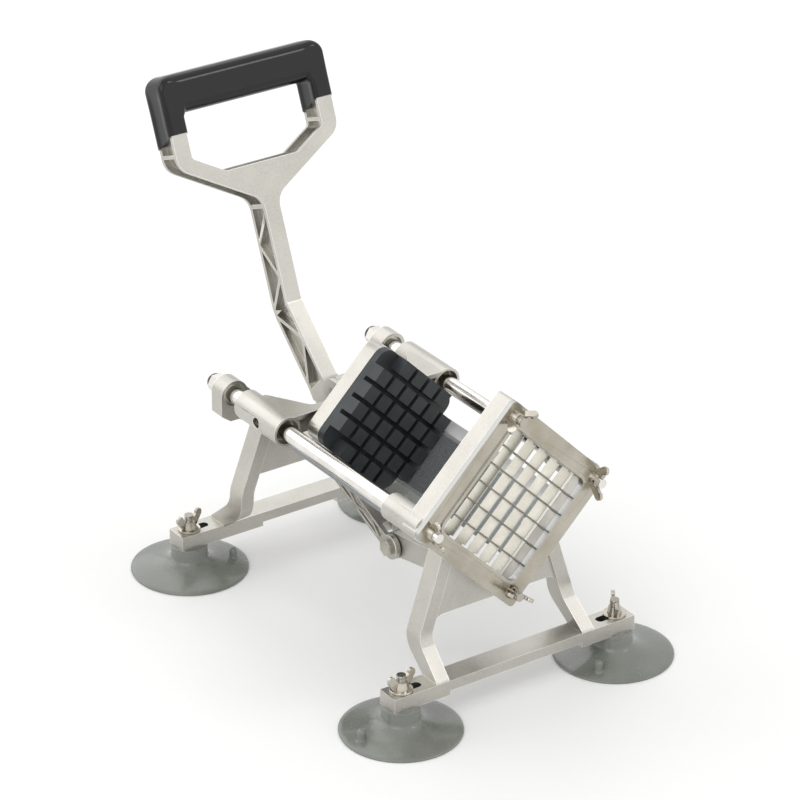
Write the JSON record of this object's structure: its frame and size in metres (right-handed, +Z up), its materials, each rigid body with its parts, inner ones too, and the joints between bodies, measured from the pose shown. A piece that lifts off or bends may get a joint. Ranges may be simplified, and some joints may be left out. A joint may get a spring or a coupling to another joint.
{
  "type": "french fry cutter",
  "caption": "Bench-top lever press that drives a ribbed pusher block along two rods and pushes a potato through a square grid of crossed blades, on suction-cup feet.",
  "frame": {"origin": "on the bench, under the middle of the overall box with the lever back", "axes": "+X to the machine's right seen from the blades' rear, +Y from the blades towards the handle, +Z up"},
  "size_m": [0.239, 0.357, 0.3179],
  "materials": {
    "cast_aluminium": "satin cast, faces machined bright",
    "trough_sheet": "hammered on the inside, satin on the flanges",
    "polished_rod": "ground and polished",
    "plate_steel": "fine brushed",
    "blade_steel": "bright rolled",
    "bright_steel": "bright turned",
    "cup_vinyl": "smooth semi-gloss",
    "bronze": "bored bronze",
    "block_plastic": "matte moulded",
    "grip_vinyl": "glossy dipped vinyl"
  },
  "bodies": {
    "base": {"front_casting": "cast_aluminium", "rear_casting": "cast_aluminium", "trough_left": "trough_sheet", "trough_right": "trough_sheet", "trough_screws": "bright_steel", "guide_rod_left": "polished_rod", "guide_rod_right": "polished_rod", "rod_acorn_nuts": "bright_steel", "blade_plate": "plate_steel", "blade_cartridge": "blade_steel", "rising_blades": "blade_steel", "falling_blades": "blade_steel", "blade_studs": "bright_steel", "blade_wing_nuts": "bright_steel", "suction_cup_front_left": "cup_vinyl", "suction_cup_front_right": "cup_vinyl", "suction_cup_rear_left": "cup_vinyl", "suction_cup_rear_right": "cup_vinyl", "foot_studs": "bright_steel", "foot_washers": "bright_steel", "foot_wing_nuts": "bright_steel"},
    "pusher": {"pusher_head": "cast_aluminium", "head_bushings": "bronze", "pusher_block": "block_plastic", "block_screws": "bright_steel", "pivot_bolt": "bright_steel"},
    "lever": {"lever": "cast_aluminium", "handle_grip": "grip_vinyl", "lever_end_bush": "bright_steel"},
    "link": {"link": "cast_aluminium", "link_bolt": "bright_steel", "link_nut": "bright_steel", "link_end_pins": "bright_steel"}
  },
  "joints": [
    {"name": "pusher_slide", "type": "slide", "parent": "base", "child": "pusher", "axis": [0, -1, 0], "range_m": [0, 0.112]},
    {"name": "lever_pivot", "type": "hinge", "parent": "pusher", "child": "lever", "pos_m": [0, 0.04497, 0.1312], "axis": [1, 0, 0], "range_deg": [-0.5, 79.5]},
    {"name": "link_pivot", "type": "hinge", "parent": "base", "child": "link", "pos_m": [0, -0.02103, 0.049], "axis": [1, 0, 0], "range_deg": [-0.5, 63.6]}
  ],
  "couplings": [
    {"joint": "lever_pivot", "follows": "pusher_slide", "rad_per_m": 12.282},
    {"joint": "link_pivot", "follows": "pusher_slide", "rad_per_m": 9.8314}
  ]
}
